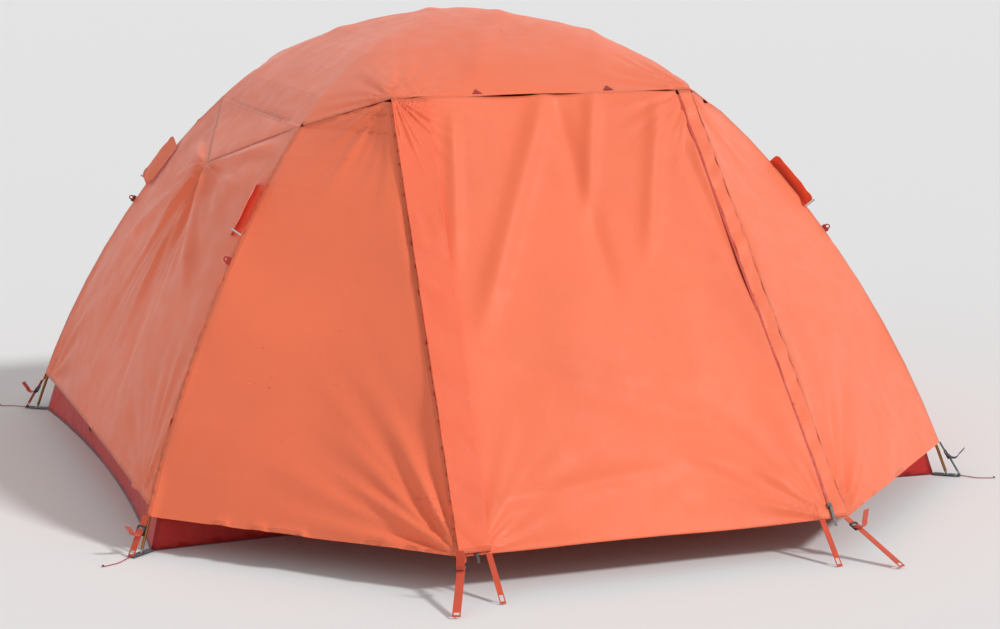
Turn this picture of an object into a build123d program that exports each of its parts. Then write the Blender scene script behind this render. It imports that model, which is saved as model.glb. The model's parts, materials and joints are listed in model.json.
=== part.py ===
from build123d import *
import math
import os

# A free-standing dome tent. Two long shock-corded poles cross over the crown, and a short
# brow pole runs front to back over them. The inner tent hangs from the poles on clips, and
# the fly goes over everything, with a vestibule and a zipped door at the front and back.
# The frame: +X along the long side, the front door at -Y, +Z up, and the origin on the
# ground at the tent's centre. Lengths are millimetres and angles are degrees.

os.makedirs("parts", exist_ok=True)

# ---- Driving dimensions: pole frame ----
feet_length = 2334.0  # between pole feet, along X
feet_width = 1761.0  # between pole feet, along Y
apex_height = 1303.0  # centreline of the upper main pole at the crown
crown_radius = 1223.0  # the pre-bent crown of a main pole
crown_half_angle = 45.5
crown_sections = 5
leg_sections = 3
brow_sections = 3
pole_diameter = 8.5
pole_wall = 0.8
pole_stack_gap = 0.4  # between poles where they cross
foot_height = 14.0  # lower end of a main pole's tube above the ground
insert_clearance = 0.15
insert_length = 46.0
cord_bore = 3.2  # hole through an insert for the elastic cord
elastic_diameter = 2.4
tip_spigot = 14.0
tip_pin_length = 11.0
tip_pin_diameter = 6.0

# ---- Driving dimensions: fly ----
fly_clearance = 12.0  # from the upper pole's centreline to the fly's outer face
fabric = 1.6
brow_half_width = 433.0
brow_reach = 679.0
brow_height = apex_height - 184.0
brow_pole_gap = 1.2  # under the roof cloth
seam_cross = 787.0  # where the roof seam crosses a pole, out from the centre
peak_reach = 782.0
peak_height = 887.0
vestibule_half_width = 520.0
vestibule_reach = 1485.0
hem_height = 97.0
end_hem_rise = 40.0
end_bulge_at_hem = 10.0
seam_gap = 0.4
crown_patch = 160.0  # how far from the crown the brow pole still lifts the fly
zip_inset_top = 43.0  # from the corner seam to the zip, at the brow
zip_inset_hem = 40.0
zip_gap = 7.0
coil_width = 3.2
coil_height = 3.0
flap_width_top = 100.0
flap_width_hem = 82.0
flap_stand_off = 8.0
flap_overlap = 4.0  # the flap's free edge past the corner seam

# ---- Driving dimensions: inner tent ----
canopy_drop = 26.0  # from the lower pole's centreline to the inner canopy
tub_height = 150.0
ground_sheet = 1.0
floor_bow_end = 46.0
floor_bow_side = 36.0
doorway_sill = 190.0
doorway_height = 780.0
doorway_width = 860.0
doorway_corner = 240.0
door_clearance = 1.0

# ---- Driving dimensions: webbing, clips, vents ----
webbing = 1.5
strap_width = 20.0
tab_width = 25.0
clip_angles = (15.0, 36.0, 52.0, 62.0)
clip_length = 14.0
clip_wall = 2.2
clip_clearance = 0.2
vent_centre = 985.0  # along the pole, out from the centre
vent_length = 165.0
vent_width = 74.0
vent_inset = 66.0
vent_open_angle = 22.0
strut_diameter = 5.0
guy_tab_at = 1092.0
peg_cord_diameter = 2.6
knot_radius = 4.0

diagonal = math.degrees(math.atan2(feet_width, feet_length))
cos_d = math.cos(math.radians(diagonal))
sin_d = math.sin(math.radians(diagonal))
foot_reach = math.hypot(feet_length, feet_width) / 2

corners = {
    "front_left": (-1, -1),
    "front_right": (1, -1),
    "back_right": (1, 1),
    "back_left": (-1, 1),
}


def save(name, shape):
    solids = shape.solids() if hasattr(shape, "solids") else [s for item in shape for s in item.solids()]
    export_step(Compound(children=[Solid(s.wrapped) for s in solids]), f"parts/{name}.step")
    volume = sum(s.volume for s in solids)
    print(f"{name}: {len(solids)} solids, {volume:.0f} mm3")


class Arch:
    """A bent pole in its own upright plane: a crown arc, then a tangent leg arc to the foot."""

    def __init__(self, apex, foot_s, foot_z, radius, half_angle):
        a = math.radians(half_angle)
        join_s = radius * math.sin(a)
        join_z = apex - radius * (1 - math.cos(a))
        ds = join_s - foot_s
        dz = join_z - foot_z
        leg = (ds * ds + dz * dz) / (2 * (ds * math.sin(a) + dz * math.cos(a)))
        self.half_angle = half_angle
        self.crown = (0.0, apex - radius, radius)
        self.leg = (join_s - leg * math.sin(a), join_z - leg * math.cos(a), leg)
        self.foot_angle = math.degrees(math.atan2(foot_s - self.leg[0], foot_z - self.leg[1]))

    def offset(self, distance):
        other = object.__new__(Arch)
        other.half_angle = self.half_angle
        other.foot_angle = self.foot_angle
        other.crown = (*self.crown[:2], self.crown[2] + distance)
        other.leg = (*self.leg[:2], self.leg[2] + distance)
        return other

    def arc(self, angle):
        return self.crown if angle <= self.half_angle else self.leg

    def point(self, angle):
        s, z, r = self.arc(angle)
        a = math.radians(angle)
        return s + r * math.sin(a), z + r * math.cos(a)

    def s_at(self, z):
        join_z = self.point(self.half_angle)[1]
        cs, cz, r = self.crown if z >= join_z else self.leg
        return cs + math.sqrt(r * r - (z - cz) ** 2)

    def z_at(self, s):
        join_s = self.point(self.half_angle)[0]
        cs, cz, r = self.crown if s <= join_s else self.leg
        return cz + math.sqrt(r * r - (s - cs) ** 2)

    def angle_at(self, s):
        join_s = self.point(self.half_angle)[0]
        cs, _, r = self.crown if s <= join_s else self.leg
        return math.degrees(math.asin((s - cs) / r))


stack = pole_diameter + pole_stack_gap
upper_pole = Arch(apex_height, foot_reach, foot_height, crown_radius, crown_half_angle)
lower_pole = Arch(apex_height - stack, foot_reach, foot_height, crown_radius, crown_half_angle)
fly_arch = upper_pole.offset(fly_clearance)
canopy_arch = lower_pole.offset(-canopy_drop)

# The brow pole rests on the upper main pole and ends just inside each brow.
fly_apex = apex_height + stack + pole_diameter / 2 + 0.6 + fabric
roof_radius = (brow_reach**2 + (fly_apex - brow_height) ** 2) / (2 * (fly_apex - brow_height))
brow_pole_radius = roof_radius - fabric - brow_pole_gap - pole_diameter / 2
brow_pole_end = math.degrees(math.asin((brow_reach - 22.0) / roof_radius))


def place(plane_angle):
    """From an arch's plane, where s is +X, to the tent's frame."""
    return Rotation(0, 0, plane_angle)


# ---- Poles ----
def tube_along(arc, start, end, outer, inner=0.0):
    """A tube that follows one arc (centre s, centre z, radius) between two angles."""
    s, z, r = arc
    a = math.radians(start)
    origin = (s + r * math.sin(a), 0, z + r * math.cos(a))
    section = Plane(origin, x_dir=(math.sin(a), 0, math.cos(a)), z_dir=(math.cos(a), 0, -math.sin(a)))
    face = section * Circle(outer)
    if inner:
        face -= section * Circle(inner)
    return revolve(face, Axis((s, 0, z), (0, 1, 0)), end - start)


def both_sides(shapes):
    return shapes + [mirror(shape, about=Plane.YZ) for shape in shapes]


def joints_of(arch):
    """The angles of the joints between a main pole's sections, from the crown to a foot."""
    step = 2 * arch.half_angle / crown_sections
    crown = [arch.half_angle - step * i for i in range((crown_sections + 1) // 2)]
    span = arch.foot_angle - arch.half_angle
    legs = [arch.half_angle + span * i / leg_sections for i in range(1, leg_sections)]
    return sorted(crown) + legs


def main_pole(arch, plane_angle):
    outer = pole_diameter / 2
    inner = outer - pole_wall
    stops = joints_of(arch)
    half = stops[0]
    sections = [tube_along(arch.crown, -half, half, outer, inner)]
    sided = []
    for start, end in zip(stops, stops[1:] + [arch.foot_angle]):
        sided.append(tube_along(arch.arc(end), start, end, outer, inner))
    inserts = []
    for stop in stops:
        piece = []
        for side in (-1, 1):
            arc = arch.crown if stop + side * 0.01 <= arch.half_angle else arch.leg
            reach = side * math.degrees(insert_length / 2 / arc[2])
            span = sorted((stop, stop + reach))
            piece.append(tube_along(arc, *span, inner - insert_clearance, cord_bore / 2))
        inserts.append(piece[0] + piece[1])
    cord_end = arch.foot_angle - math.degrees((tip_spigot + 0.4) / arch.leg[2])
    elastic = [tube_along(arch.crown, -arch.half_angle, arch.half_angle, elastic_diameter / 2)]
    elastic += both_sides([tube_along(arch.leg, arch.half_angle, cord_end, elastic_diameter / 2)])
    turn = place(plane_angle)
    tubes = [turn * shape for shape in sections + both_sides(sided)]
    return tubes, [turn * shape for shape in both_sides(inserts)], [turn * run for run in elastic]


def brow_pole():
    outer = pole_diameter / 2
    inner = outer - pole_wall
    arc = (0.0, fly_apex - roof_radius, brow_pole_radius)
    step = 2 * brow_pole_end / brow_sections
    stops = [-brow_pole_end + step * i for i in range(brow_sections + 1)]
    tubes = [tube_along(arc, a, b, outer, inner) for a, b in zip(stops, stops[1:])]
    reach = math.degrees(insert_length / 2 / arc[2])
    inserts = [
        tube_along(arc, a - reach, a + reach, inner - insert_clearance, cord_bore / 2) for a in stops[1:-1]
    ]
    cord_end = brow_pole_end - math.degrees((tip_spigot + 0.4) / arc[2])
    elastic = tube_along(arc, -cord_end, cord_end, elastic_diameter / 2)
    turn = place(90)
    return [turn * t for t in tubes], [turn * i for i in inserts], [turn * elastic]


def pole_tip():
    """A turned end plug: a spigot in the tube, a shoulder and a round-ended pin, down -Z."""
    spigot = pole_diameter / 2 - pole_wall - insert_clearance
    pin = tip_pin_diameter / 2
    profile = Polyline(
        (0, tip_spigot), (spigot, tip_spigot), (spigot, 0), (pole_diameter / 2, 0), (pole_diameter / 2, -2), (pin, -2.6),
        (pin, -tip_pin_length + 1.2), (pin - 1.2, -tip_pin_length), (0, -tip_pin_length), close=True,
    )
    return revolve(Plane.XZ * make_face(profile), Axis.Z)


def tips_for(arc, angle, plane_angle):
    s, z, r = arc
    a = math.radians(angle)
    end = (s + r * math.sin(a), 0, z + r * math.cos(a))
    down = (math.cos(a), 0, -math.sin(a))
    seat = Plane(end, x_dir=(0, 1, 0), z_dir=(-down[0], 0, -down[2]))
    tip = seat * pole_tip()
    return [place(plane_angle) * tip, place(plane_angle + 180) * tip]


upper_tubes, upper_inserts, upper_elastic = main_pole(upper_pole, -diagonal)
lower_tubes, lower_inserts, lower_elastic = main_pole(lower_pole, diagonal)
brow_tubes, brow_inserts, brow_elastic = brow_pole()
tips = tips_for(upper_pole.leg, upper_pole.foot_angle, -diagonal)
tips += tips_for(lower_pole.leg, lower_pole.foot_angle, diagonal)
tips += tips_for((0.0, fly_apex - roof_radius, brow_pole_radius), brow_pole_end, 90)
save("main_pole_upper", upper_tubes)
save("main_pole_lower", lower_tubes)
save("brow_pole", brow_tubes)
save("pole_inserts", upper_inserts + lower_inserts + brow_inserts)
save("shock_cords", upper_elastic + lower_elastic + brow_elastic)
save("pole_tips", tips)


# ---- Fabric helpers ----
def facet(points):
    return Face(Wire.make_polygon([Vector(*p) for p in points]))


def arched_band(a, mid, b, shift_a, shift_mid, shift_b):
    """A thin flat section between two arcs that share their ends' order."""
    lower = [Vector(*p) + Vector(*q) for p, q in ((a, shift_a), (mid, shift_mid), (b, shift_b))]
    a, mid, b = Vector(*a), Vector(*mid), Vector(*b)
    edges = [
        Edge.make_three_point_arc(a, mid, b),
        Edge.make_line(b, lower[2]),
        Edge.make_three_point_arc(lower[2], lower[1], lower[0]),
        Edge.make_line(lower[0], a),
    ]
    return Face(Wire(edges))


def sheet_through(sections):
    return Solid.make_loft([section.outer_wire() for section in sections], ruled=True)


def ridge(s, z, side):
    return side[0] * s * cos_d, side[1] * s * sin_d, z


# ---- Fly: roof ----
cross_x = seam_cross * cos_d
cross_y = seam_cross * sin_d
cross_z = fly_arch.z_at(seam_cross)
roof_stations = [cross_x * i / 8 for i in range(8)] + [brow_half_width, cross_x - 8.0]
roof_stations = sorted(roof_stations)
narrow = 2.0  # half-width of a roof gore where it reaches the crown


def crown_z(x):
    """The fly's height over the main poles; at the crown the brow pole lifts it a little."""
    lift = fly_apex - fly_arch.z_at(0)
    return fly_arch.z_at(x / cos_d) + lift * max(0.0, 1 - x / crown_patch)


def ridge_y(x):
    return max(x * sin_d / cos_d, narrow)


def brow_edge(x):
    if x <= brow_half_width:
        return brow_reach, brow_height
    share = (x - brow_half_width) / (cross_x - brow_half_width)
    return (
        brow_reach + share * (cross_y - brow_reach),
        brow_height + share * (cross_z - brow_height),
    )


def roof_quarter_section(x, sign):
    """The roof from a pole ridge out to the front brow, at one distance from the middle."""
    y0, z0 = ridge_y(x), crown_z(x)
    y1, z1 = brow_edge(x)
    chord = math.hypot(y1 - y0, z1 - z0)
    rise = chord**2 / (8 * roof_radius) + 0.3
    mid = ((y0 + y1) / 2 + rise * (z0 - z1) / chord, (z0 + z1) / 2 + rise * (y1 - y0) / chord)
    down = (0, 0, -fabric)
    return arched_band(
        (sign * x, -y0, z0), (sign * x, -mid[0], mid[1]), (sign * x, -y1, z1), down, down, down
    )


def roof_front():
    stations = [-x for x in reversed(roof_stations[1:])] + roof_stations
    return sheet_through([roof_quarter_section(abs(x), math.copysign(1, x)) for x in stations])


def roof_end():
    """The roof over one end, flat between the two ridges."""
    sections = []
    for x in roof_stations + [cross_x]:
        y, z = ridge_y(x), crown_z(x)
        sections.append(facet([(x, -y, z), (x, y, z), (x, y, z - fabric), (x, -y, z - fabric)]))
    return sheet_through(sections)


# ---- Fly: end walls ----
wall_stations = [cross_z - (cross_z - peak_height) * i / 2 for i in range(3)]
wall_stations += [peak_height - (peak_height - hem_height) * i / 7 for i in range(1, 8)]


def end_bulge(z):
    """How far an end wall's middle stands out past the line between its two ridges."""
    at_peak = peak_reach - fly_arch.s_at(peak_height) * cos_d
    if z >= peak_height:
        return max(2.0, at_peak * (cross_z - z) / (cross_z - peak_height))
    share = (z - hem_height) / (peak_height - hem_height)
    return end_bulge_at_hem + share * (at_peak - end_bulge_at_hem)


def end_wall_section(z):
    s = fly_arch.s_at(z)
    x, y = s * cos_d, s * sin_d
    out = x + end_bulge(z)
    inset = fabric * 1.25
    return arched_band(
        (x, -y, z), (out, 0, z), (x, y, z),
        (-inset * cos_d, inset * sin_d, 0), (-fabric, 0, 0), (-inset * cos_d, -inset * sin_d, 0),
    )


def end_wall():
    return sheet_through([end_wall_section(z) for z in wall_stations])


def seam_prism(drop):
    """The region above the V seam from the end peak to where it crosses the poles."""
    top = cross_z + 30.0
    outline = [
        (0, peak_height - drop), (cross_y + 5, cross_z - drop), (cross_y + 5, top),
        (-cross_y - 5, top), (-cross_y - 5, cross_z - drop),
    ]
    face = facet([(0, y, z) for y, z in outline])
    return extrude(face, amount=2 * foot_reach, dir=(1, 0, 0))


def hem_cutter():
    """Everything below the end wall's catenary hem."""
    y = foot_reach
    low = hem_height - 10
    hem = Edge.make_three_point_arc((0, -y, low), (0, 0, hem_height + end_hem_rise), (0, y, low))
    below = Wire.make_polygon([(0, y, low), (0, y, 0), (0, -y, 0), (0, -y, low)], close=False)
    return extrude(Face(Wire([hem, *below.edges()])), amount=2 * foot_reach, dir=(1, 0, 0))


full_end = end_wall()
end_gusset = full_end & seam_prism(0)
end_panel = full_end - seam_prism(seam_gap) - hem_cutter()
front_roof = roof_front()
right_roof = roof_end()
roof_parts = [front_roof, Rotation(0, 0, 180) * front_roof, right_roof, Rotation(0, 0, 180) * right_roof]
roof_parts += [end_gusset, Rotation(0, 0, 180) * end_gusset]
roof = roof_parts[0]
for piece in roof_parts[1:]:
    roof = roof + piece
save("fly_roof", roof)
save("fly_end_right", end_panel)
save("fly_end_left", Rotation(0, 0, 180) * end_panel)

# ---- Fly: vestibule ----
top_edge = (brow_half_width, brow_reach, brow_height)
hem_corner = (vestibule_half_width, vestibule_reach, hem_height)
under_seam = fabric + seam_gap
panel_top_z = cross_z - under_seam
panel_stations = [brow_height - under_seam - 8.0, (brow_height + cross_z) / 2, panel_top_z]
panel_stations += wall_stations[1:]


def along(a, b, share):
    return tuple(p + share * (q - p) for p, q in zip(a, b))


def front_edge(z):
    """The seam between a vestibule's face and its side, from the brow to the hem."""
    return along(top_edge, hem_corner, (brow_height - z) / (brow_height - hem_height))


def side_panel_section(z):
    if z > panel_top_z:
        share = (z - panel_top_z) / (brow_height - cross_z)
        start = along((cross_x, cross_y, z), (brow_half_width, brow_reach, z), share)
    else:
        s = fly_arch.s_at(z)
        start = (s * cos_d, s * sin_d, z)
    end = front_edge(z)
    inset = fabric * 1.25
    return facet([
        (start[0], -start[1], z),
        (end[0], -end[1], z),
        (end[0], -end[1] + inset, z),
        (start[0] - inset * cos_d, -start[1] + inset * sin_d, z),
    ])


side_panel = sheet_through([side_panel_section(z) for z in panel_stations])
side_panels = {
    "front_right": side_panel,
    "front_left": mirror(side_panel, about=Plane.YZ),
    "back_right": mirror(side_panel, about=Plane.XZ),
    "back_left": Rotation(0, 0, 180) * side_panel,
}
for name, panel in side_panels.items():
    save(f"fly_side_{name}", panel)

# The vestibule's face is flat. In its own plane, x runs along the brow and v down the slope.
face_drop = brow_height - hem_height
face_run = vestibule_reach - brow_reach
face_length = math.hypot(face_drop, face_run)
face_plane = Plane((0, -brow_reach, brow_height), x_dir=(1, 0, 0), z_dir=(0, -face_drop, face_run))
door_top = 2.5


def seam_x(v):
    return brow_half_width + (vestibule_half_width - brow_half_width) * v / face_length


def zip_x(v):
    return seam_x(v) - zip_inset_top - (zip_inset_hem - zip_inset_top) * v / face_length


def on_face(outline, low, high):
    """A plate on the vestibule's face: outline in (x, v), between two heights off the cloth."""
    face = facet([(x, -v, 0) for x, v in outline])
    plate = extrude(face, amount=high - low, dir=(0, 0, 1))
    return face_plane * Pos(0, 0, low) * plate


def zip_band():
    """The strip of the face between the corner seam and the zip."""
    a, b = door_top, face_length
    outline = [
        (seam_x(a) - seam_gap, a), (seam_x(b) - seam_gap, b),
        (zip_x(b) + zip_gap / 2, b), (zip_x(a) + zip_gap / 2, a),
    ]
    return on_face(outline, -fabric, 0)


def zip_coil(inner):
    a, b = door_top + 14.0, face_length - 12.0
    near, far = (zip_gap / 2 - coil_width, zip_gap / 2)
    if inner:
        near, far = -far, -near
    outline = [(zip_x(a) + near, a), (zip_x(b) + near, b), (zip_x(b) + far, b), (zip_x(a) + far, a)]
    return on_face(outline, -fabric / 2 - coil_height / 2, -fabric / 2 + coil_height / 2)


def face_door():
    a, b = door_top, face_length
    right = [(zip_x(a) - zip_gap / 2, a), (zip_x(b) - zip_gap / 2, b)]
    outline = right + [(-x, v) for x, v in reversed(right)]
    return on_face(outline, -fabric, 0)


def storm_flap():
    """Sewn to the door along its inner edge, and lying over the zip on the left."""
    a, b = door_top + 6.0, face_length - 4.0
    out_a, out_b = seam_x(a) + flap_overlap, seam_x(b) + flap_overlap
    outline = [(-out_a, a), (-out_b, b), (-out_b + flap_width_hem, b), (-out_a + flap_width_top, a)]
    sewn = [
        (-out_a + flap_width_top - 3, a), (-out_b + flap_width_hem - 3, b),
        (-out_b + flap_width_hem, b), (-out_a + flap_width_top, a),
    ]
    return on_face(outline, flap_stand_off, flap_stand_off + fabric) + on_face(sewn, 0, flap_stand_off + 0.2)


def mirrored(shape):
    return mirror(shape, about=Plane.YZ)


back = Rotation(0, 0, 180)
front_bands = [zip_band(), mirrored(zip_band())]
root_coils = [zip_coil(False), mirrored(zip_coil(False))]
door_coils = [zip_coil(True), mirrored(zip_coil(True))]
save("fly_zip_bands", front_bands + [back * band for band in front_bands])
save("fly_zip_coils", root_coils + [back * coil for coil in root_coils])
save("front_door", face_door())
save("back_door", back * face_door())
save("front_door_coils", door_coils)
save("back_door_coils", [back * coil for coil in door_coils])
save("front_storm_flap", storm_flap())
save("back_storm_flap", back * storm_flap())

# ---- Zip sliders ----
slider_length = 17.0
slider_width = 11.0
slider_from_hem = 34.0
pull_length = 56.0
pull_width = 7.0
slider_lift = 0.3


def zip_slider():
    """A cast plate over both coils, a bail, and a cord-and-tape pull hanging down the slope."""
    v = face_length - slider_from_hem
    x = zip_x(v)
    base = -fabric / 2 + coil_height / 2 + slider_lift
    plate = face_plane * Pos(x, -v, base + 0.9) * extrude(
        RectangleRounded(slider_width, slider_length, 3.0), amount=0.9, both=True
    )
    bail = face_plane * Pos(x, -v - 2.0, base + 1.8) * Rotation(0, 90, 0) * (
        Cylinder(3.2, 2.6) - Cylinder(1.6, 4.0) - Pos(4.0, 0, 0) * Box(8, 8, 8)
    )
    pull = face_plane * Pos(x, -v - 1.0 - pull_length / 2, base + 4.0) * extrude(
        RectangleRounded(pull_width, pull_length, 2.0), amount=0.6, both=True
    )
    return plate + bail + pull


slider = zip_slider()
save("front_slider_right", slider)
save("front_slider_left", mirrored(slider))
save("back_slider_left", back * slider)
save("back_slider_right", back * mirrored(slider))

# ---- Inner tent ----
canopy_z = canopy_arch.crown[1] + canopy_arch.crown[2]
tub_s = canopy_arch.s_at(tub_height)
floor_s = foot_reach - 34.0


def gore_profile(scale, horizontal):
    """The thick profile of a canopy gore: points along the arch, and the same points inside."""
    inner_arch = canopy_arch.offset(-fabric)
    steps = 9
    last = math.degrees(math.acos((tub_height - canopy_arch.leg[1]) / canopy_arch.leg[2]))
    angles = [last * i / steps for i in range(steps + 1)]
    outer = [canopy_arch.point(a) for a in angles]
    inner = [inner_arch.point(a) for a in angles]
    inner[-1] = (inner_arch.s_at(tub_height), tub_height)
    points = [(s * scale, z) for s, z in outer + inner[::-1]]
    if horizontal == "x":
        return facet([(s, 0, z) for s, z in points])
    return facet([(0, -s, z) for s, z in points])


def wedge(direction, reach):
    """An upright prism over one quarter of the plan, between two diagonals."""
    gap = 0.15
    if direction == "x":
        plan = [(gap / sin_d, 0), (reach, (reach - gap / sin_d) * sin_d / cos_d), (reach, -(reach - gap / sin_d) * sin_d / cos_d)]
    else:
        plan = [(0, -gap / cos_d), (-(reach - gap / cos_d) * cos_d / sin_d, -reach), ((reach - gap / cos_d) * cos_d / sin_d, -reach)]
    return extrude(facet([(x, y, 0) for x, y in plan]), amount=1.2 * apex_height, dir=(0, 0, 1))


def canopy_gore(direction):
    if direction == "x":
        profile = gore_profile(cos_d, "x")
        sheet = extrude(profile, amount=feet_width, dir=(0, 1, 0), both=True)
        return sheet & wedge("x", feet_length)
    profile = gore_profile(sin_d, "y")
    sheet = extrude(profile, amount=feet_length, dir=(1, 0, 0), both=True)
    return sheet & wedge("y", feet_width)


def doorway(shrink):
    """The D-shaped doorway, cut level through the wall."""
    width = doorway_width - 2 * shrink
    height = doorway_height - 2 * shrink
    shape = RectangleRounded(width, height, doorway_corner - shrink)
    block = extrude(Plane.XZ * Pos(0, doorway_sill + doorway_height / 2) * shape, amount=feet_width)
    return block


front_wall = canopy_gore("y")
side_wall = canopy_gore("x")
front_doorway = front_wall & doorway(door_clearance)
front_wall = front_wall - doorway(0)
save("inner_end_right", side_wall)
save("inner_end_left", back * side_wall)
save("inner_front", front_wall)
save("inner_back", back * front_wall)
save("inner_door_front", front_doorway)
save("inner_door_back", back * front_doorway)


def bowed_outline(half_x, half_y, bow_x, bow_y, z, inset=0.0):
    """A floor outline whose sides bow inward between the corners."""
    x, y = half_x - inset, half_y - inset
    points = [(x, -y), (x, y), (-x, y), (-x, -y)]
    mids = [(x - bow_x, 0), (0, y - bow_y), (-x + bow_x, 0), (0, -y + bow_y)]
    edges = []
    for i, mid in enumerate(mids):
        a, b = points[i], points[(i + 1) % 4]
        edges.append(Edge.make_three_point_arc((*a, z), (*mid, z), (*b, z)))
    return Wire(edges)


floor_x, floor_y = floor_s * cos_d, floor_s * sin_d
tub_x, tub_y = tub_s * cos_d, tub_s * sin_d
floor_base = ground_sheet
tub_outer = Solid.make_loft(
    [
        bowed_outline(floor_x, floor_y, floor_bow_end, floor_bow_side, floor_base),
        bowed_outline(tub_x, tub_y, 0.5, 0.5, tub_height),
    ],
    ruled=True,
)
tub_inner = Solid.make_loft(
    [
        bowed_outline(floor_x, floor_y, floor_bow_end, floor_bow_side, floor_base + fabric, fabric),
        bowed_outline(tub_x, tub_y, 0.5, 0.5, tub_height + 0.5, fabric),
    ],
    ruled=True,
)
save("bathtub_floor", tub_outer - tub_inner)
footprint_outline = bowed_outline(floor_x + 3, floor_y + 3, floor_bow_end, floor_bow_side, 0)
save("footprint", extrude(Face(footprint_outline), amount=ground_sheet, dir=(0, 0, 1)))


# ---- Clips that hang the inner tent from the poles ----
def canopy_gap(arch, angle):
    """From a pole's centreline in to the canopy, along the pole's own normal."""
    s, z = arch.point(angle)
    a = math.radians(angle)
    ns, nz = math.sin(a), math.cos(a)
    for cs, cz, r in (canopy_arch.crown, canopy_arch.leg):
        ds, dz = s - cs, z - cz
        b = ds * ns + dz * nz
        gap = b - math.sqrt(b * b - (ds * ds + dz * dz - r * r))
        hit_s = s - gap * ns
        if (hit_s <= canopy_arch.point(canopy_arch.half_angle)[0]) == (r == canopy_arch.crown[2]):
            return gap
    return gap


def clip_body():
    """A snap clip: an open ring about the pole, which runs along Z, with a foot on -X."""
    bore = pole_diameter / 2 + clip_clearance
    outer = bore + clip_wall
    ring = Cylinder(outer, clip_length) - Cylinder(bore, 2 * clip_length)
    ring -= Pos(outer, 0, 0) * Box(outer, 1.3 * bore, 2 * clip_length)
    foot = Pos(-outer - 1.4, 0, 0) * Box(4.0, 9.0, clip_length)
    return ring + foot - Cylinder(bore, 2 * clip_length)


def clip_set(arch, plane_angle):
    clips, tabs = [], []
    outer = pole_diameter / 2 + clip_clearance + clip_wall
    foot_end = outer + 3.4
    for angle in clip_angles:
        s, z = arch.point(angle)
        a = math.radians(angle)
        seat = Plane((s, 0, z), x_dir=(math.sin(a), 0, math.cos(a)), z_dir=(math.cos(a), 0, -math.sin(a)))
        length = canopy_gap(arch, angle) - foot_end - 0.6
        tab = Pos(-foot_end - length / 2 - 0.15, 0, 0) * Box(length, webbing, clip_length - 2)
        for turn in (plane_angle, plane_angle + 180):
            clips.append(place(turn) * (seat * clip_body()))
            tabs.append(place(turn) * (seat * tab))
    return clips, tabs


clips, clip_tabs = clip_set(upper_pole, -diagonal)
more_clips, more_tabs = clip_set(lower_pole, diagonal)
save("pole_clips", clips + more_clips)
save("clip_tabs", clip_tabs + more_tabs)


def crown_hook():
    """Webbing loop at the canopy's top that hangs from the crossed poles."""
    low = canopy_z + 0.3
    high = apex_height - stack - pole_diameter / 2 - 0.3
    turn = place(diagonal)
    return turn * (Pos(0, 0, (low + high) / 2) * Box(30, 6, high - low))


save("crown_hook", crown_hook())


# ---- Corners: tabs, grommets and fly straps ----
def corner_frame(side):
    """A corner's own frame: +X outward along the diagonal, at the ground."""
    return place(math.degrees(math.atan2(side[1] * sin_d, side[0] * cos_d)))


tab_z = 3.4
grommet_hole = 3.9
grommet_rim = 8.0
foot_tangent = math.radians(90 - upper_pole.foot_angle)
pin_middle = tip_pin_length * 0.72
grommet_s = foot_reach + pin_middle * math.cos(math.radians(upper_pole.foot_angle))
tab_start = floor_s + 0.2
tab_end = grommet_s + 40.0


def corner_tab():
    length = tab_end - tab_start
    tab = Pos((tab_start + tab_end) / 2, 0, tab_z) * Box(length, tab_width, webbing)
    tab -= Pos(grommet_s, 0, tab_z) * Cylinder(grommet_hole + 0.8, 10)
    tab -= Pos(tab_end - 12, 0, tab_z) * Box(7, tab_width - 7, 10)
    return tab


def grommet():
    barrel = Pos(0, 0, tab_z) * Cylinder(grommet_hole + 0.7, webbing + 0.1)
    rims = Pos(0, 0, tab_z + webbing / 2 + 0.45) * Cylinder(grommet_rim, 0.8)
    rims += Pos(0, 0, tab_z - webbing / 2 - 0.45) * Cylinder(grommet_rim, 0.8)
    return Pos(grommet_s, 0, 0) * (barrel + rims - Pos(0, 0, tab_z) * Cylinder(grommet_hole, 10))


save("corner_tabs", [corner_frame(side) * corner_tab() for side in corners.values()])
save("corner_grommets", [corner_frame(side) * grommet() for side in corners.values()])

buckle_length = 26.0
buckle_width = 28.0
buckle_height = 3.4


def strap_frame(start, end):
    """+X down the strap, Y across it, Z out of its upper face."""
    a, b = Vector(*start), Vector(*end)
    run = (b - a).normalized()
    side = Vector(0, 0, 1).cross(run).normalized()
    return Plane(a, x_dir=run, z_dir=run.cross(side)), (b - a).length


def ladder_lock():
    """A three-bar buckle for webbing."""
    body = extrude(RectangleRounded(buckle_length, buckle_width, 3.0), amount=buckle_height / 2, both=True)
    for x in (-6.0, 3.0):
        body -= Pos(x, 0, 0) * Box(5.4, buckle_width - 7, 10)
    return body


def strap_pieces(start, end, at, tail):
    """A sewn upper end, a ladder-lock, an adjusting strap with a peg eye, and a loose tail."""
    plane, length = strap_frame(start, end)
    half = webbing / 2
    bar = at - buckle_length / 2
    upper = Pos((bar - 0.4) / 2, 0, 0) * Box(bar - 0.4, strap_width, webbing)
    low_start = at - 2.0
    lift = buckle_height / 2 + half + 0.3
    lower = Pos((low_start + length) / 2, 0, lift) * Box(length - low_start, strap_width, webbing)
    lower -= Pos(length - 10.0, 0, lift) * Box(9.0, strap_width - 7, 10)
    curl = 13.0
    arc_end = (at - 2 + curl * 0.9, lift + curl * 1.9)
    path = ThreePointArc((0, 0), (curl * 0.9, curl * 0.35), (arc_end[0] - at + 2, arc_end[1] - lift))
    path += Line(path @ 1, path @ 1 + Vector(-tail * 0.35, tail))
    strip = extrude(Plane.XZ * trace(path, webbing), amount=strap_width / 2, both=True)
    loose = Pos(at + 4.0, 0, lift + webbing + 0.4) * strip
    buckle = Pos(at, 0, 0) * ladder_lock()
    return [plane * piece for piece in (upper, buckle, lower, loose)]


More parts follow.
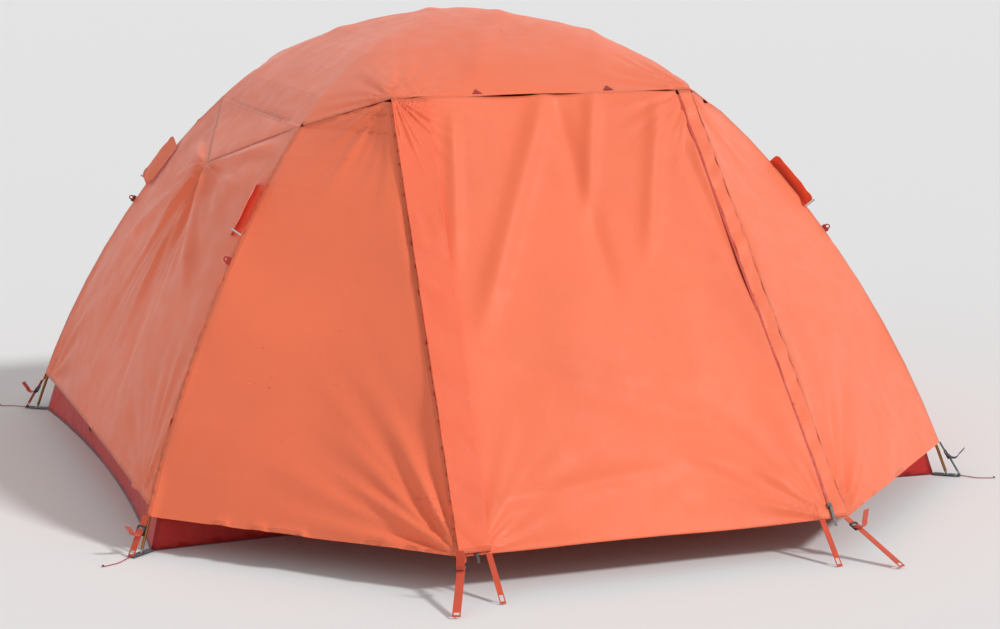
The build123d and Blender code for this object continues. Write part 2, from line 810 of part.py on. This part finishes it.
hem_s = fly_arch.s_at(hem_height)
strap_sets = {}
for name, side in corners.items():
    frame = corner_frame(side)
    pieces = strap_pieces((hem_s + 1.0, 0, hem_height), (tab_end - 4.0, 0, tab_z), 40.0, 24.0)
    strap_sets[name] = [frame * piece for piece in pieces]
left_sets = [strap_sets["front_left"], strap_sets["back_left"]]
right_sets = [strap_sets["front_right"], strap_sets["back_right"]]
save("corner_straps_left", [piece for pieces in left_sets for piece in (pieces[0], pieces[2], pieces[3])])
save("corner_straps_right", [piece for pieces in right_sets for piece in (pieces[0], pieces[2], pieces[3])])

stake_x = 585.0
stake_y = 1649.0
vest_pieces = strap_pieces(
    (vestibule_half_width - 6, -vestibule_reach - 1.9, hem_height - 1.3), (stake_x, -stake_y, 4.0), 34.0, 30.0
)
vest_sets = [vest_pieces, [mirrored(piece) for piece in vest_pieces]]
vest_sets += [[back * piece for piece in pieces] for pieces in vest_sets]
save("vestibule_straps", [piece for pieces in vest_sets for piece in (pieces[0], pieces[2], pieces[3])])
save("strap_buckles", [pieces[1] for pieces in left_sets + right_sets + vest_sets])

loop_x = 446.0
loop_y = 1585.0
loop_width = 15.0


def door_loop():
    """A webbing stake loop under each lower corner of a door."""
    plane, length = strap_frame((loop_x, -vestibule_reach - 0.5, hem_height), (loop_x, -loop_y, 3.0))
    strap = Pos(length / 2, 0, 0) * Box(length, loop_width, webbing)
    strap -= Pos(length - 15, 0, 0) * Box(18, loop_width - 5, 10)
    return plane * strap


front_loops = [door_loop(), mirrored(door_loop())]
save("front_door_loops", front_loops)
save("back_door_loops", [back * loop for loop in front_loops])


# ---- Vents, guy-out tabs and small trim ----
def ridge_frame(s):
    """On the front right ridge: X down the ridge, Y across the end wall, Z out of it."""
    slope = -math.tan(math.radians(fly_arch.angle_at(s)))
    z = fly_arch.z_at(s)
    turn = 2 * math.atan(end_bulge(z) / (s * sin_d))
    tangent = Vector(cos_d, -sin_d, slope).normalized()
    across = Vector(math.sin(turn), math.cos(turn), 0)
    return Plane(Vector(*ridge(s, z, (1, -1))), x_dir=tangent, z_dir=tangent.cross(across))


vent_plane = ridge_frame(vent_centre)
hinge_lift = 0.1  # the flap's mid-plane over the ridge line at its seam


def vent_hood():
    """A stiffened flap, sewn along its inner edge and propped open over the ridge."""
    flap = Pos(0, -vent_width / 2, 0) * extrude(
        RectangleRounded(vent_length, vent_width, 16.0), amount=webbing / 2, both=True
    )
    seat = Pos(0, vent_inset, hinge_lift) * Rotation(-vent_open_angle, 0, 0)
    return vent_plane * seat * flap


strut_height = vent_width * math.sin(math.radians(vent_open_angle)) + hinge_lift - 0.9
strut_seat = (vent_length / 2 + strut_diameter / 2 + 1.1, 8.0, strut_diameter / 2 - 1.3)


def vent_strut():
    """A short prop, pivoted on the fly at the lower end of the hood's mouth."""
    rod = Pos(0, 0, strut_height / 2) * Cylinder(strut_diameter / 2, strut_height)
    cap = Pos(0, 0, strut_height) * Cylinder(strut_diameter / 2 + 0.8, 1.6)
    knuckle = Rotation(90, 0, 0) * Cylinder(strut_diameter / 2, strut_diameter)
    return vent_plane * Pos(*strut_seat) * (rod + cap + knuckle)


def four(shape):
    """Front right, front left, back right and back left copies of a front right piece."""
    return {
        "front_right": shape,
        "front_left": mirrored(shape),
        "back_right": mirror(shape, about=Plane.XZ),
        "back_left": back * shape,
    }


for name, shape in four(vent_hood()).items():
    save(f"vent_hood_{name}", shape)
for name, shape in four(vent_strut()).items():
    save(f"vent_strut_{name}", shape)


def guy_tab():
    tab = Pos(0, 0, 4.6) * Box(22, webbing, 10) + Pos(0, 0, 12.1) * Rotation(90, 0, 0) * Cylinder(8, webbing)
    tab -= Pos(0, 0, 13.1) * Rotation(90, 0, 0) * Cylinder(4, 10)
    return ridge_frame(guy_tab_at) * tab



brow_tab_x = 190.0


def brow_tab():
    """A small reinforcement triangle on the roof side of the brow."""
    slope = math.degrees(math.asin((brow_reach - 16) / roof_radius))
    face = facet([(-14, 0, 0), (14, 0, 0), (0, 20, 0)])
    plate = extrude(face, amount=webbing, dir=(0, 0, 1))
    foot = brow_height + 6 * math.tan(math.radians(slope)) + 0.3
    return Pos(brow_tab_x, -brow_reach + 6, foot) * Rotation(slope, 0, 0) * plate


save("guy_out_tabs", list(four(guy_tab()).values()) + list(four(brow_tab()).values()))


def end_loop():
    """A small loop under the middle of an end hem, held to the floor by elastic."""
    x = fly_arch.s_at(hem_height + end_hem_rise) * cos_d + end_bulge_at_hem
    ring = Cylinder(9, 3) - Cylinder(6, 10)
    return Pos(x - 2, 0, hem_height + end_hem_rise - 9.3) * Rotation(0, 90, 0) * ring


save("end_hem_loops", [end_loop(), back * end_loop()])

# ---- Peg cords at the corners ----
cord_low = peg_cord_diameter / 2 + 0.1
peg_routes = {
    "front_left": [(0, 0, tab_z), (22, 1, 2.6), (46, 7, cord_low), (70, 3, cord_low), (92, -4, cord_low)],
    "front_right": [(0, 0, tab_z), (22, -2, 2.6), (44, -8, cord_low), (66, -3, cord_low), (90, 5, cord_low)],
    "back_right": [(0, 0, tab_z), (22, 1, 2.6), (46, 7, cord_low), (70, 3, cord_low), (92, -4, cord_low)],
    "back_left": [(0, 0, tab_z), (22, -2, 2.6), (44, -8, cord_low), (66, -3, cord_low), (90, 5, cord_low)],
}
cord_start = tab_end + 0.4
knots = []
for name, route in peg_routes.items():
    points = [Vector(cord_start + x, y, z) for x, y, z in route]
    radii = []
    for before, here, after in zip(points, points[1:], points[2:]):
        turn = (here - before).get_angle(after - here)
        shorter = min((here - before).length, (after - here).length)
        radii.append(0.45 * shorter / math.tan(math.radians(turn / 2)))
    print(f"peg_cord_{name} radii:", [round(r) for r in radii])
    path = FilletPolyline(*points, radius=radii)
    start = Plane(points[0], z_dir=path % 0)
    tube = sweep(start * Circle(peg_cord_diameter / 2), path=path)
    expected = math.pi * (peg_cord_diameter / 2) ** 2 * path.length
    print(f"peg_cord_{name}: length {path.length:.1f}, volume {tube.volume:.0f} of {expected:.0f}")
    frame = corner_frame(corners[name])
    save(f"peg_cord_{name}", frame * tube)
    end = path @ 1
    knots.append(frame * (Pos(end.X + knot_radius, end.Y, knot_radius) * Sphere(knot_radius)))
save("peg_cord_knots", knots)
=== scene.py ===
import json
import math
import bmesh
import bpy
import numpy as np
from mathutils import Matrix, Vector, noise
from mathutils.kdtree import KDTree


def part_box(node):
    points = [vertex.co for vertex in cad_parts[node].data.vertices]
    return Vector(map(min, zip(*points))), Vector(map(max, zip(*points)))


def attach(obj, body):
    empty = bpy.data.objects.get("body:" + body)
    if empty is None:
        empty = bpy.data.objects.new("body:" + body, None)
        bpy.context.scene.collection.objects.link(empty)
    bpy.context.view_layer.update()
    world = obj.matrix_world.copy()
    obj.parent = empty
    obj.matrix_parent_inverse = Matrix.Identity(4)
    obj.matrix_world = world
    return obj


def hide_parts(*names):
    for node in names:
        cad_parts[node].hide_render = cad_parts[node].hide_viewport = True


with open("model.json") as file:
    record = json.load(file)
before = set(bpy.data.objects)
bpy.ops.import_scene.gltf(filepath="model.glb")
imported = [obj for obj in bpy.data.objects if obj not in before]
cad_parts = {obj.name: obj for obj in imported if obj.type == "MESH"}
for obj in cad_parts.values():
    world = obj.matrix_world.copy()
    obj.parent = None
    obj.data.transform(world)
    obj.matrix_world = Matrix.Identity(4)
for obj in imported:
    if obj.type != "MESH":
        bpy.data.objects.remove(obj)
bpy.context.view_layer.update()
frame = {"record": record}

record = frame["record"]
mounts = {m["name"]: Vector(m["pos_m"]) for m in record["mounts"]}
ENDS = ("left", "right")
SIDES = ("front", "back")
CORNERS = [f"{side}_{end}" for side in SIDES for end in ENDS]

# ---- Camera ----
camera = bpy.data.objects.new("camera", bpy.data.cameras.new("camera"))
bpy.context.collection.objects.link(camera)
camera.location = (-2.1805, -6.3660, 1.6405)
target = Vector((-0.093, -0.584, 0.5))
camera.rotation_euler = (target - camera.location).to_track_quat("-Z", "Y").to_euler()
camera.data.sensor_width = 36.0
camera.data.lens = 80.9
bpy.context.scene.camera = camera


# ---- Materials ----
class Nodes:
    """A material's node tree, with short ways to add and link nodes."""

    def __init__(self, name):
        self.material = bpy.data.materials.new(name)
        self.material.use_nodes = True
        self.tree = self.material.node_tree
        self.shader = self.tree.nodes["Principled BSDF"]

    def add(self, kind, **settings):
        node = self.tree.nodes.new(kind)
        for key, value in settings.items():
            setattr(node, key, value)
        return node

    def link(self, source, sink):
        self.tree.links.new(source, sink)

    def noise(self, scale, detail=3.0, stretch=(1, 1, 1)):
        place = self.add("ShaderNodeTexCoord")
        mapping = self.add("ShaderNodeMapping")
        mapping.inputs["Scale"].default_value = stretch
        texture = self.add("ShaderNodeTexNoise")
        texture.inputs["Scale"].default_value = scale
        texture.inputs["Detail"].default_value = detail
        self.link(place.outputs["Object"], mapping.inputs["Vector"])
        self.link(mapping.outputs["Vector"], texture.inputs["Vector"])
        return texture.outputs["Fac"]

    def math(self, operation, a, b):
        node = self.add("ShaderNodeMath", operation=operation)
        for socket, value in zip(node.inputs, (a, b)):
            if isinstance(value, (int, float)):
                socket.default_value = value
            else:
                self.link(value, socket)
        return node.outputs[0]

    def mix(self, factor, a, b):
        node = self.add("ShaderNodeMix", data_type="RGBA")
        self.link(factor, node.inputs[0])
        for socket, value in ((node.inputs[6], a), (node.inputs[7], b)):
            if isinstance(value, tuple):
                socket.default_value = (*value, 1.0)
            else:
                self.link(value, socket)
        return node.outputs[2]

    def ramp(self, value, low, high, first=0.0, last=1.0):
        """value between low and high, as a number between first and last."""
        node = self.add("ShaderNodeMapRange")
        for name, number in (("From Min", low), ("From Max", high), ("To Min", first), ("To Max", last)):
            node.inputs[name].default_value = number
        self.link(value, node.inputs["Value"])
        return node.outputs["Result"]

    def bump(self, height, strength, distance=0.001):
        node = self.add("ShaderNodeBump")
        node.inputs["Strength"].default_value = strength
        node.inputs["Distance"].default_value = distance
        self.link(height, node.inputs["Height"])
        self.link(node.outputs["Normal"], self.shader.inputs["Normal"])

    def grid(self, pitch):
        """Ripstop lines: 1 on the threads of a square grid, 0 between, over the panel's flat coordinates."""
        uv = self.add("ShaderNodeUVMap", uv_map="flat")
        split = self.add("ShaderNodeSeparateXYZ")
        self.link(uv.outputs["UV"], split.inputs["Vector"])
        lines = []
        for axis in ("X", "Y"):
            wave = self.math("PINGPONG", split.outputs[axis], pitch / 2)
            lines.append(self.ramp(wave, 0.02 * pitch, 0.12 * pitch, 1.0, 0.0))
        return self.math("MAXIMUM", *lines)


def shade(colour, factor):
    return tuple(min(1.0, c * factor) for c in colour)


def cloth_material(name, colour, sheen=0.15, pitch=0.006, hem=0.72):
    """Coated ripstop: faint grid, uneven dye, a sewn band with stitch lines along every edge."""
    n = Nodes(name)
    cloudy = n.ramp(n.noise(2.2, 4.0), 0.3, 0.7)
    base = n.mix(cloudy, shade(colour, 0.94), shade(colour, 1.05))
    grid = n.grid(pitch)
    base = n.mix(n.math("MULTIPLY", grid, 0.16), base, shade(colour, 0.7))
    edge = n.add("ShaderNodeAttribute", attribute_name="edge").outputs["Fac"]
    band = n.ramp(edge, 0.010, 0.013, 1.0, 0.0)
    base = n.mix(n.math("MULTIPLY", band, 0.6), base, shade(colour, hem))
    stitches = n.math("PINGPONG", n.math("SUBTRACT", edge, 0.003), 0.004)
    thread = n.math("MULTIPLY", n.ramp(stitches, 0.0, 0.0009, 1.0, 0.0), band)
    base = n.mix(n.math("MULTIPLY", thread, 0.55), base, shade(colour, 0.45))
    n.link(base, n.shader.inputs["Base Color"])
    n.link(n.ramp(n.noise(18.0), 0.3, 0.7, 0.42, 0.58), n.shader.inputs["Roughness"])
    n.shader.inputs["Sheen Weight"].default_value = sheen
    n.shader.inputs["Specular IOR Level"].default_value = 0.35
    crinkle = n.math("MULTIPLY", n.noise(70.0, 5.0), 1.3)
    relief = n.math("ADD", n.math("ADD", crinkle, grid), n.math("MULTIPLY", thread, -1.5))
    n.bump(relief, 0.35)
    return n.material


def webbing_material(name, colour):
    n = Nodes(name)
    weave = n.noise(900.0, 1.0, (1, 1, 2.5))
    worn = n.ramp(n.noise(30.0), 0.3, 0.75)
    base = n.mix(worn, shade(colour, 0.8), shade(colour, 1.15))
    n.link(n.mix(weave, base, shade(colour, 0.6)), n.shader.inputs["Base Color"])
    n.shader.inputs["Roughness"].default_value = 0.8
    n.shader.inputs["Sheen Weight"].default_value = 0.3
    n.bump(weave, 0.8, 0.0006)
    return n.material


def hard_material(name, colour, roughness, metallic=0.0, grain=220.0, stretch=(1, 1, 1)):
    n = Nodes(name)
    mottled = n.noise(grain, 3.0, stretch)
    n.link(n.mix(mottled, shade(colour, 0.82), shade(colour, 1.14)), n.shader.inputs["Base Color"])
    rough = n.ramp(n.noise(grain / 3), 0.3, 0.7, 0.8 * roughness, 1.2 * roughness)
    n.link(rough, n.shader.inputs["Roughness"])
    n.shader.inputs["Metallic"].default_value = metallic
    n.bump(mottled, 0.25, 0.0003)
    return n.material


MATERIALS = {
    "fly": cloth_material("fly", (0.95, 0.185, 0.078)),
    "fly_flap": cloth_material("fly_flap", (0.92, 0.15, 0.06)),
    "inner_wall": cloth_material("inner_wall", (0.62, 0.10, 0.055), pitch=0.004),
    "inner_mesh": cloth_material("inner_mesh", (0.20, 0.022, 0.016), pitch=0.0025),
    "floor_cloth": cloth_material("floor_cloth", (0.58, 0.018, 0.014)),
    "footprint_cloth": cloth_material("footprint_cloth", (0.15, 0.19, 0.24)),
    "web_orange": webbing_material("web_orange", (0.82, 0.09, 0.03)),
    "web_navy": webbing_material("web_navy", (0.012, 0.035, 0.06)),
    "web_red": webbing_material("web_red", (0.42, 0.012, 0.010)),
    "inner_web": webbing_material("inner_web", (0.05, 0.055, 0.07)),
    "zip_coil": hard_material("zip_coil", (0.60, 0.05, 0.02), 0.5, stretch=(1, 4, 4)),
    "slider": hard_material("slider", (0.008, 0.008, 0.010), 0.35),
    "pole": hard_material("pole", (0.36, 0.17, 0.05), 0.3, 1.0),
    "pole_insert": hard_material("pole_insert", (0.5, 0.5, 0.52), 0.3, 1.0),
    "pole_tip": hard_material("pole_tip", (0.36, 0.36, 0.38), 0.3, 1.0),
    "elastic": hard_material("elastic", (0.012, 0.012, 0.014), 0.8),
    "clip": hard_material("clip", (0.01, 0.01, 0.012), 0.45),
    "eyelet": hard_material("eyelet", (0.30, 0.25, 0.16), 0.35, 1.0),
    "buckle": hard_material("buckle", (0.006, 0.006, 0.008), 0.4),
    "strut": hard_material("strut", (0.48, 0.49, 0.51), 0.4),
    "peg_cord": webbing_material("peg_cord", (0.55, 0.04, 0.015)),
    # knot: the same cord as peg_cord, coloured much darker as painted shade for the tight turns of the knot
    "knot": webbing_material("knot", (0.17, 0.006, 0.005)),
}
SLOT = {row["node"]: row["material_slot"] for row in record["subparts"]}
BODY = {node: body for body, nodes in record["behaviour"]["bodies"].items() for node in nodes}


def dress(obj, slot):
    obj.data.materials.clear()
    obj.data.materials.append(MATERIALS[slot])


for node in SLOT:
    dress(bpy.data.objects[node], SLOT[node])


# ---- Peg cords and their knots ----
ROUTES = {
    "front_left": [(0, 0, 3.4), (22, 1, 2.6), (46, 7, 1.4), (70, 3, 1.4), (92, -4, 1.4)],
    "front_right": [(0, 0, 3.4), (22, -2, 2.6), (44, -8, 1.4), (66, -3, 1.4), (90, 5, 1.4)],
}
ROUTES["back_right"] = ROUTES["front_left"]
ROUTES["back_left"] = ROUTES["front_right"]
CORD_DIAMETER = 0.0026
KNOT_RADIUS = 0.004
EYE_TO_CORD = 0.0124


def curve_object(name, points, radius, closed=False):
    data = bpy.data.curves.new(name, "CURVE")
    data.dimensions = "3D"
    data.bevel_depth = radius
    data.bevel_resolution = 3
    data.resolution_u = 16
    spline = data.splines.new("NURBS")
    spline.points.add(len(points) - 1)
    for at, point in zip(spline.points, points):
        at.co = (*point, 1.0)
    spline.order_u = 3
    spline.use_endpoint_u = not closed
    spline.use_cyclic_u = closed
    obj = bpy.data.objects.new(name, data)
    bpy.context.collection.objects.link(obj)
    return obj


def overhand(centre, out, across):
    """A small tied knot: a trefoil of the cord, drawn tight."""
    points = []
    for i in range(24):
        t = math.tau * i / 24
        x = (math.sin(t) + 2 * math.sin(2 * t)) / 3
        y = (math.cos(t) - 2 * math.cos(2 * t)) / 3
        rise = Vector((0, 0, -0.0015 * math.sin(3 * t)))
        points.append(centre + 0.0026 * (out * x + across * y) + rise)
    return points


for corner in CORNERS:
    eye = mounts[f"corner_peg_eye_{corner}"]
    out = Vector((eye.x, eye.y, 0)).normalized()
    across = Vector((-out.y, out.x, 0))
    start = Vector((eye.x, eye.y, 0)) + out * EYE_TO_CORD
    points = [start + (out * x + across * y + Vector((0, 0, z))) / 1000 for x, y, z in ROUTES[corner]]
    cord = curve_object(f"cord_{corner}", points, CORD_DIAMETER / 2)
    dress(cord, "peg_cord")
    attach(cord, "tent")
    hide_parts(f"peg_cord_{corner}")
    centre = points[-1] + out * KNOT_RADIUS
    centre.z = KNOT_RADIUS
    knot = curve_object(f"knot_{corner}", overhand(centre, out, across), 0.00105, closed=True)
    # the knot's material is darker than its cord: painted shade
    dress(knot, "knot")
    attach(knot, "tent")
    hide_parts("peg_cord_knots")


# ---- Cloth ----
FOLD_DEPTH = 1.5


def smooth(t):
    t = min(1.0, max(0.0, t))
    return t * t * (3 - 2 * t)


class Crease:
    """A fold along the line a to b, depth out of the cloth, fading towards its ends."""

    def __init__(self, a, b, depth, width):
        self.a, self.b = Vector(a), Vector(b)
        self.depth, self.width = depth, width

    def __call__(self, p):
        run = self.b - self.a
        t = (p - self.a).dot(run) / run.length_squared
        near = (p - self.a - run * min(1.0, max(0.0, t))).length / self.width
        if near > 2.5 or not -0.1 < t < 1.1:
            return 0.0
        fade = smooth((t + 0.1) / 0.25) * smooth((1.1 - t) / 0.4)
        return self.depth * math.exp(-near * near) * fade


class Fan:
    """Wrinkles that spread from a loaded point and die out at reach."""

    def __init__(self, centre, reach, depth, count, u, v, seed):
        self.centre, self.reach, self.depth = Vector(centre), reach, depth
        self.count, self.u, self.v, self.seed = count, Vector(u), Vector(v), seed

    def __call__(self, p):
        d = p - self.centre
        r = d.length
        if r > self.reach or r < 1e-6:
            return 0.0
        angle = math.atan2(d.dot(self.v), d.dot(self.u))
        wave = noise.noise(Vector((angle * self.count, r * 3.0, self.seed)))
        return self.depth * wave * smooth(r / 0.05) * (1 - smooth(r / self.reach))


class Drape:
    """Soft unevenness of hanging cloth, longer along one direction than across it."""

    def __init__(self, depth, scale, along, stretch, seed):
        self.depth, self.scale, self.stretch, self.seed = depth, scale, stretch, seed
        self.along = Vector(along).normalized()

    def __call__(self, p):
        lengthwise = self.along * p.dot(self.along)
        q = (p - lengthwise) * self.scale + lengthwise * self.scale / self.stretch
        return self.depth * noise.noise(q + Vector((self.seed, 0, 0)))


def dome_out(p):
    return Vector((p.x / 1.3, p.y / 0.75, (p.z - 0.1) / 0.9)).normalized()


SLIVER = 0.0003  # a flatter triangle has no reliable normal


def height_of(face):
    return 2 * face.calc_area() / max(edge.calc_length() for edge in face.edges)


def refined(node, size):
    """A copy of a CAD sheet's mesh with no edge much longer than size, and its sharp rim's points."""
    mesh = bmesh.new()
    mesh.from_mesh(bpy.data.objects[node].data)
    bmesh.ops.remove_doubles(mesh, verts=mesh.verts, dist=1e-6)
    for _ in range(9):
        long_edges = [e for e in mesh.edges if e.calc_length() > size]
        if not long_edges:
            break
        bmesh.ops.subdivide_edges(mesh, edges=long_edges, cuts=1)
        bmesh.ops.triangulate(mesh, faces=[f for f in mesh.faces if len(f.verts) > 3])
    mesh.normal_update()
    sound = {f for f in mesh.faces if height_of(f) > SLIVER}
    rim = [e for e in mesh.edges if len(e.link_faces) == 2 and sound.issuperset(e.link_faces)]
    return mesh, {v for e in rim if e.calc_face_angle(0) > 0.9 for v in e.verts}


def flat_axes(points):
    """The panel's two main directions and its size along them."""
    co = np.array([tuple(p) for p in points])
    _, axes = np.linalg.eigh(np.cov(co.T))
    main = [axes[:, 2], axes[:, 1]]
    return [Vector(axis) for axis in main], [float(np.ptp(co @ axis)) for axis in main]


def cloth(name, node, fields, out=dome_out, size=0.016, fade=0.03, lowest=-1.0):
    """A sheet in place of a CAD one: the same cut and thickness, finely divided, wrinkled along out.
    lowest is the furthest that the folds go inward, so 0 keeps a flap off the slider under it."""
    mesh, rim = refined(node, size)
    area = sum(f.calc_area() for f in mesh.faces) / 2
    tree = KDTree(len(rim))
    for i, vertex in enumerate(rim):
        tree.insert(vertex.co, i)
    tree.balance()
    (u, v), spans = flat_axes([vertex.co for vertex in mesh.verts])
    edge = mesh.verts.layers.float.new("edge")
    uv = mesh.loops.layers.uv.new("flat")
    for face in mesh.faces:
        face.smooth = True
        for loop in face.loops:
            loop[uv].uv = (loop.vert.co.dot(u), loop.vert.co.dot(v))
    for vertex in mesh.verts:
        distance = tree.find(vertex.co)[2]
        vertex[edge] = distance
        height = FOLD_DEPTH * sum(field(vertex.co) for field in fields) * smooth(distance / fade)
        height = max(height, lowest)
        vertex.co += out(vertex.co) * height
    data = bpy.data.meshes.new(name)
    mesh.to_mesh(data)
    mesh.free()
    data.set_sharp_from_angle(angle=math.radians(50))
    obj = bpy.data.objects.new(name, data)
    bpy.context.collection.objects.link(obj)
    dress(obj, SLOT[node])
    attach(obj, BODY[node])
    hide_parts(node)
    return obj


# Key points of the tent, from the frame.
door_low, door_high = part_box("front_door")
X, Y, Z = Vector((1, 0, 0)), Vector((0, 1, 0)), Vector((0, 0, 1))
brow_half = 0.433
brow_z, brow_y = door_high.z, door_high.y
hem_z, hem_y = door_low.z, door_low.y
door_half = door_high.x
door_out = Vector((0, -(brow_z - hem_z), brow_y - hem_y)).normalized()
door_down = Vector((0, hem_y - brow_y, hem_z - brow_z)).normalized()


def turned(p):
    """The same point or direction on the opposite side of the tent."""
    return Vector((-p[0], -p[1], p[2]))


def on_door(x, share):
    """A point on the front face: share runs from the brow, 0, to the hem, 1."""
    return Vector((x, brow_y, brow_z)).lerp(Vector((x, hem_y, hem_z)), share)


DOOR_CREASES = (
    ((0.0, 0.0), (-0.34, 0.55), 0.010, 0.030),
    ((0.03, 0.02), (0.05, 0.50), -0.006, 0.028),
    ((0.14, 0.0), (0.02, 0.32), 0.007, 0.022),
    ((0.32, 0.03), (0.17, 0.40), 0.007, 0.024),
    ((-0.28, 0.05), (-0.36, 0.40), 0.006, 0.018),
    ((-0.30, 0.62), (0.30, 0.80), -0.006, 0.045),
    ((-0.38, 0.90), (0.10, 0.86), 0.005, 0.025),
    ((0.40, 0.92), (0.10, 0.82), 0.005, 0.028),
    ((0.36, 0.12), (0.44, 0.55), -0.005, 0.020),
)

for side in SIDES:
    turn = Vector if side == "front" else turned
    outward = turn(door_out)
    right, down = turn(X), turn(door_down)
    fields = [Crease(turn(on_door(*a)), turn(on_door(*b)), depth, width) for a, b, depth, width in DOOR_CREASES]
    for x, seed in ((-brow_half, 3.1), (brow_half, 5.7)):
        fields.append(Fan(turn(on_door(x, 0.0)), 0.34, 0.007, 9.0, right, down, seed))
    for x, seed in ((-door_half, 8.2), (door_half, 9.4)):
        fields.append(Fan(turn(on_door(x, 1.0)), 0.55, 0.008, 6.0, right, down, seed))
    fields.append(Drape(0.006, 5.0, down, 2.5, 11.0))
    cloth(f"{side}_fly_door", f"{side}_door", fields, lambda p, o=outward: o, 0.012)
    flap_fields = [Fan(turn(on_door(-brow_half, 0.0)), 0.6, 0.006, 12.0, right, down, 2.0)]
    flap_fields.append(Drape(0.0045, 16.0, down + 0.9 * right, 3.0, 4.0))
    flap = f"{side}_storm_flap"
    cloth(f"{side}_flap", flap, flap_fields, lambda p, o=outward: o, 0.009, fade=0.012, lowest=0.0)

for corner in CORNERS:
    node = f"fly_side_{corner}"
    low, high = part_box(node)
    sx = 1 if "right" in corner else -1
    sy = -1 if "front" in corner else 1
    foot = Vector((sx * max(abs(low.x), abs(high.x)), sy * min(abs(low.y), abs(high.y)), low.z))
    stake = Vector((sx * 0.52, sy * abs(hem_y), hem_z))
    brow = Vector((sx * brow_half, sy * abs(brow_y), brow_z))
    outward = Vector((sx * 0.62, sy * 0.62, 0.48)).normalized()
    fields = [
        Fan(stake, 0.8, 0.016, 5.0, X * sx, Z, 21.0 + sx),
        Fan(foot, 0.6, 0.012, 6.0, Y * sy, Z, 25.0 + sy),
        Fan(brow, 0.45, 0.010, 8.0, X * sx, Z, 28.0),
        Drape(0.010, 4.0, foot - stake, 2.5, 31.0),
    ]
    cloth(node + "_cloth", node, fields, lambda p, o=outward: o, 0.015)

for end in ENDS:
    sx = 1 if end == "right" else -1
    node = f"fly_end_{end}"
    low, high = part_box(node)
    peak = Vector((sx * 0.782, 0, 0.887))
    outward = Vector((0.92 * sx, 0, 0.39))
    fields = [Drape(0.009, 4.0, Z, 3.0, 41.0 + sx), Fan(peak, 0.75, 0.014, 7.0, Y, Z, 44.0)]
    for y in (-0.78, 0.78):
        fields.append(Fan(Vector((sx * 1.1, y, low.z)), 0.6, 0.012, 6.0, Y, Z, 47.0 + y))
        fields.append(Crease(peak, (sx * 0.98, 0.62 * y, 0.60), 0.010, 0.03))
        fields.append(Crease(peak, (sx * 1.10, 0.30 * y, 0.25), -0.007, 0.04))
    cloth(node + "_cloth", node, fields, lambda p, o=outward: o, 0.015)

roof_fields = [Drape(0.005, 5.0, Y, 2.0, 51.0)]
for sy in (-1, 1):
    for x, seed in ((-brow_half, 53.0), (brow_half, 54.0)):
        roof_fields.append(Fan(Vector((x, sy * abs(brow_y), brow_z)), 0.35, 0.009, 7.0, X, Y, seed))
    roof_fields.append(Crease((sy * 0.10, sy * -0.05, 1.32), (sy * -0.19, sy * -0.62, 1.15), 0.006, 0.03))
    roof_fields.append(Crease((sy * 0.35, sy * -0.1, 1.28), (sy * 0.20, sy * -0.6, 1.15), 0.004, 0.03))
cloth("fly_roof_cloth", "fly_roof", roof_fields, size=0.018)
band_fields = [Drape(0.0035, 22.0, X, 1.0, 61.0)]
cloth("fly_zip_bands_cloth", "fly_zip_bands", band_fields, size=0.013, fade=0.008)

INNER = {
    "inner_end_left": "hung",
    "inner_end_right": "hung",
    "inner_front": "hung",
    "inner_back": "hung",
    "inner_door_front": "hung",
    "inner_door_back": "hung",
    "bathtub_floor": "stretched",
    "footprint": "laid",
}
for node, held in INNER.items():
    depth = {"footprint": 0.0, "bathtub_floor": 0.0002}.get(node, 0.004)
    cloth(node + "_cloth", node, [Drape(depth, 7.0, Z, 2.0, 71.0)], size=0.035, fade=0.05)

for corner in CORNERS:
    node = f"vent_hood_{corner}"
    cloth(node + "_cloth", node, [Drape(0.0025, 30.0, X, 1.0, 81.0)], size=0.008, fade=0.010)

# ---- Floor, light and background ----
floor_mesh = bpy.data.meshes.new("floor")
floor_mesh.from_pydata([(-40, -40, 0), (40, -40, 0), (40, 40, 0), (-40, 40, 0)], [], [(0, 1, 2, 3)])
floor = bpy.data.objects.new("floor", floor_mesh)
bpy.context.collection.objects.link(floor)
ground = Nodes("floor")
ground.shader.inputs["Base Color"].default_value = (0.88, 0.88, 0.88, 1)
ground.shader.inputs["Roughness"].default_value = 0.9
floor_mesh.materials.append(ground.material)

world = bpy.data.worlds.new("world")
bpy.context.scene.world = world
world.use_nodes = True
tree = world.node_tree
tree.nodes.clear()
rays = tree.nodes.new("ShaderNodeLightPath")
seen = rays.outputs["Is Camera Ray"]
for name in ("Is Glossy Ray", "Is Transmission Ray"):
    either = tree.nodes.new("ShaderNodeMath")
    either.operation = "MAXIMUM"
    tree.links.new(seen, either.inputs[0])
    tree.links.new(rays.outputs[name], either.inputs[1])
    seen = either.outputs[0]
soft = tree.nodes.new("ShaderNodeBackground")
soft.inputs["Color"].default_value = (1, 1, 1, 1)
soft.inputs["Strength"].default_value = 0.42
white = tree.nodes.new("ShaderNodeBackground")
white.inputs["Color"].default_value = (1, 1, 1, 1)
white.inputs["Strength"].default_value = 1.0
choose = tree.nodes.new("ShaderNodeMixShader")
output = tree.nodes.new("ShaderNodeOutputWorld")
tree.links.new(seen, choose.inputs["Fac"])
tree.links.new(soft.outputs[0], choose.inputs[1])
tree.links.new(white.outputs[0], choose.inputs[2])
tree.links.new(choose.outputs[0], output.inputs["Surface"])


def sun(name, direction, strength, angle):
    lamp = bpy.data.lights.new(name, "SUN")
    lamp.energy = strength
    lamp.angle = math.radians(angle)
    obj = bpy.data.objects.new(name, lamp)
    obj.rotation_euler = Vector(direction).to_track_quat("-Z", "Y").to_euler()
    bpy.context.collection.objects.link(obj)


sun("key", (-0.62, 0.62, -0.72), 1.9, 8)
sun("fill", (0.80, 0.35, -0.45), 0.25, 40)
bpy.context.scene.view_settings.view_transform = "Standard"
